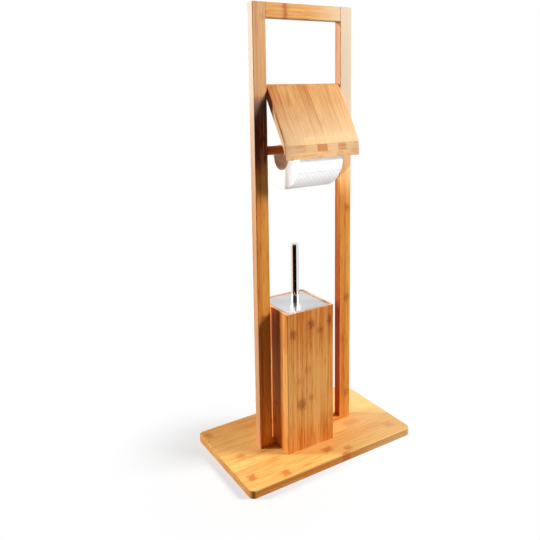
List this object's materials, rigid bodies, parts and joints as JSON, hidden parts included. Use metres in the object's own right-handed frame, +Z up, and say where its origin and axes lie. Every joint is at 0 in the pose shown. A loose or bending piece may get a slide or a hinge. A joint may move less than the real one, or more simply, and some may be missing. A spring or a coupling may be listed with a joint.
{
  "type": "toilet roll and brush stand",
  "caption": "Free-standing bamboo frame on a base board, with a hinged cover over a paper roll on a rod and a square box that holds a lidded toilet brush.",
  "frame": {"origin": "middle of the base board's underside, on the floor", "axes": "+Z up, +X to the viewer's right when the cover faces the viewer, -Y towards the viewer"},
  "size_m": [0.36, 0.21, 0.82],
  "materials": {
    "bamboo": "clear lacquered bamboo strips, satin",
    "bamboo_cover": "clear lacquered bent bamboo, satin",
    "bamboo_box": "clear lacquered bamboo strips, satin",
    "paper": "soft white embossed tissue",
    "card": "plain grey-brown card",
    "lid_steel": "brushed",
    "handle_chrome": "polished",
    "fixings": "plain",
    "liner": "moulded",
    "brush_plastic": "moulded",
    "bristle": "nylon"
  },
  "bodies": {
    "stand": {"base_board": "bamboo", "left_post": "bamboo", "right_post": "bamboo", "top_rail": "bamboo", "foot_rail": "bamboo", "rail_dowels": "bamboo", "base_screws": "fixings", "hinge_pins": "fixings"},
    "cover": {"roll_cover": "bamboo_cover"},
    "rod": {"roll_rod": "bamboo"},
    "roll": {"roll_core": "card", "paper_roll": "paper"},
    "box": {"box_front": "bamboo_box", "box_back": "bamboo_box", "box_left": "bamboo_box", "box_right": "bamboo_box", "box_floor": "bamboo_box", "box_liner": "liner"},
    "brush": {"lid_plate": "lid_steel", "handle_tube": "handle_chrome", "handle_cap": "handle_chrome", "handle_plug": "fixings", "brush_stem": "lid_steel", "stem_washer": "fixings", "stem_nut": "fixings", "brush_core": "brush_plastic", "bristles": "bristle"}
  },
  "joints": [
    {"name": "cover_hinge", "type": "hinge", "parent": "stand", "child": "cover", "pos_m": [0, 0, 0.677], "axis": [-1, 0, 0], "range_deg": [0, 143]},
    {"name": "rod_slide", "type": "slide", "parent": "stand", "child": "rod", "axis": [0, 0.7071, 0.7071], "range_m": [0, 0.018]},
    {"name": "roll_spin", "type": "hinge", "parent": "rod", "child": "roll", "pos_m": [0, 0, 0.5548], "axis": [1, 0, 0], "continuous": true},
    {"name": "box_slide", "type": "slide", "parent": "stand", "child": "box", "axis": [1, 0, 0], "range_m": [-0.0077, 0.0477]},
    {"name": "brush_lift", "type": "slide", "parent": "box", "child": "brush", "axis": [0, 0, 1], "range_m": [0, 0.1]}
  ]
}
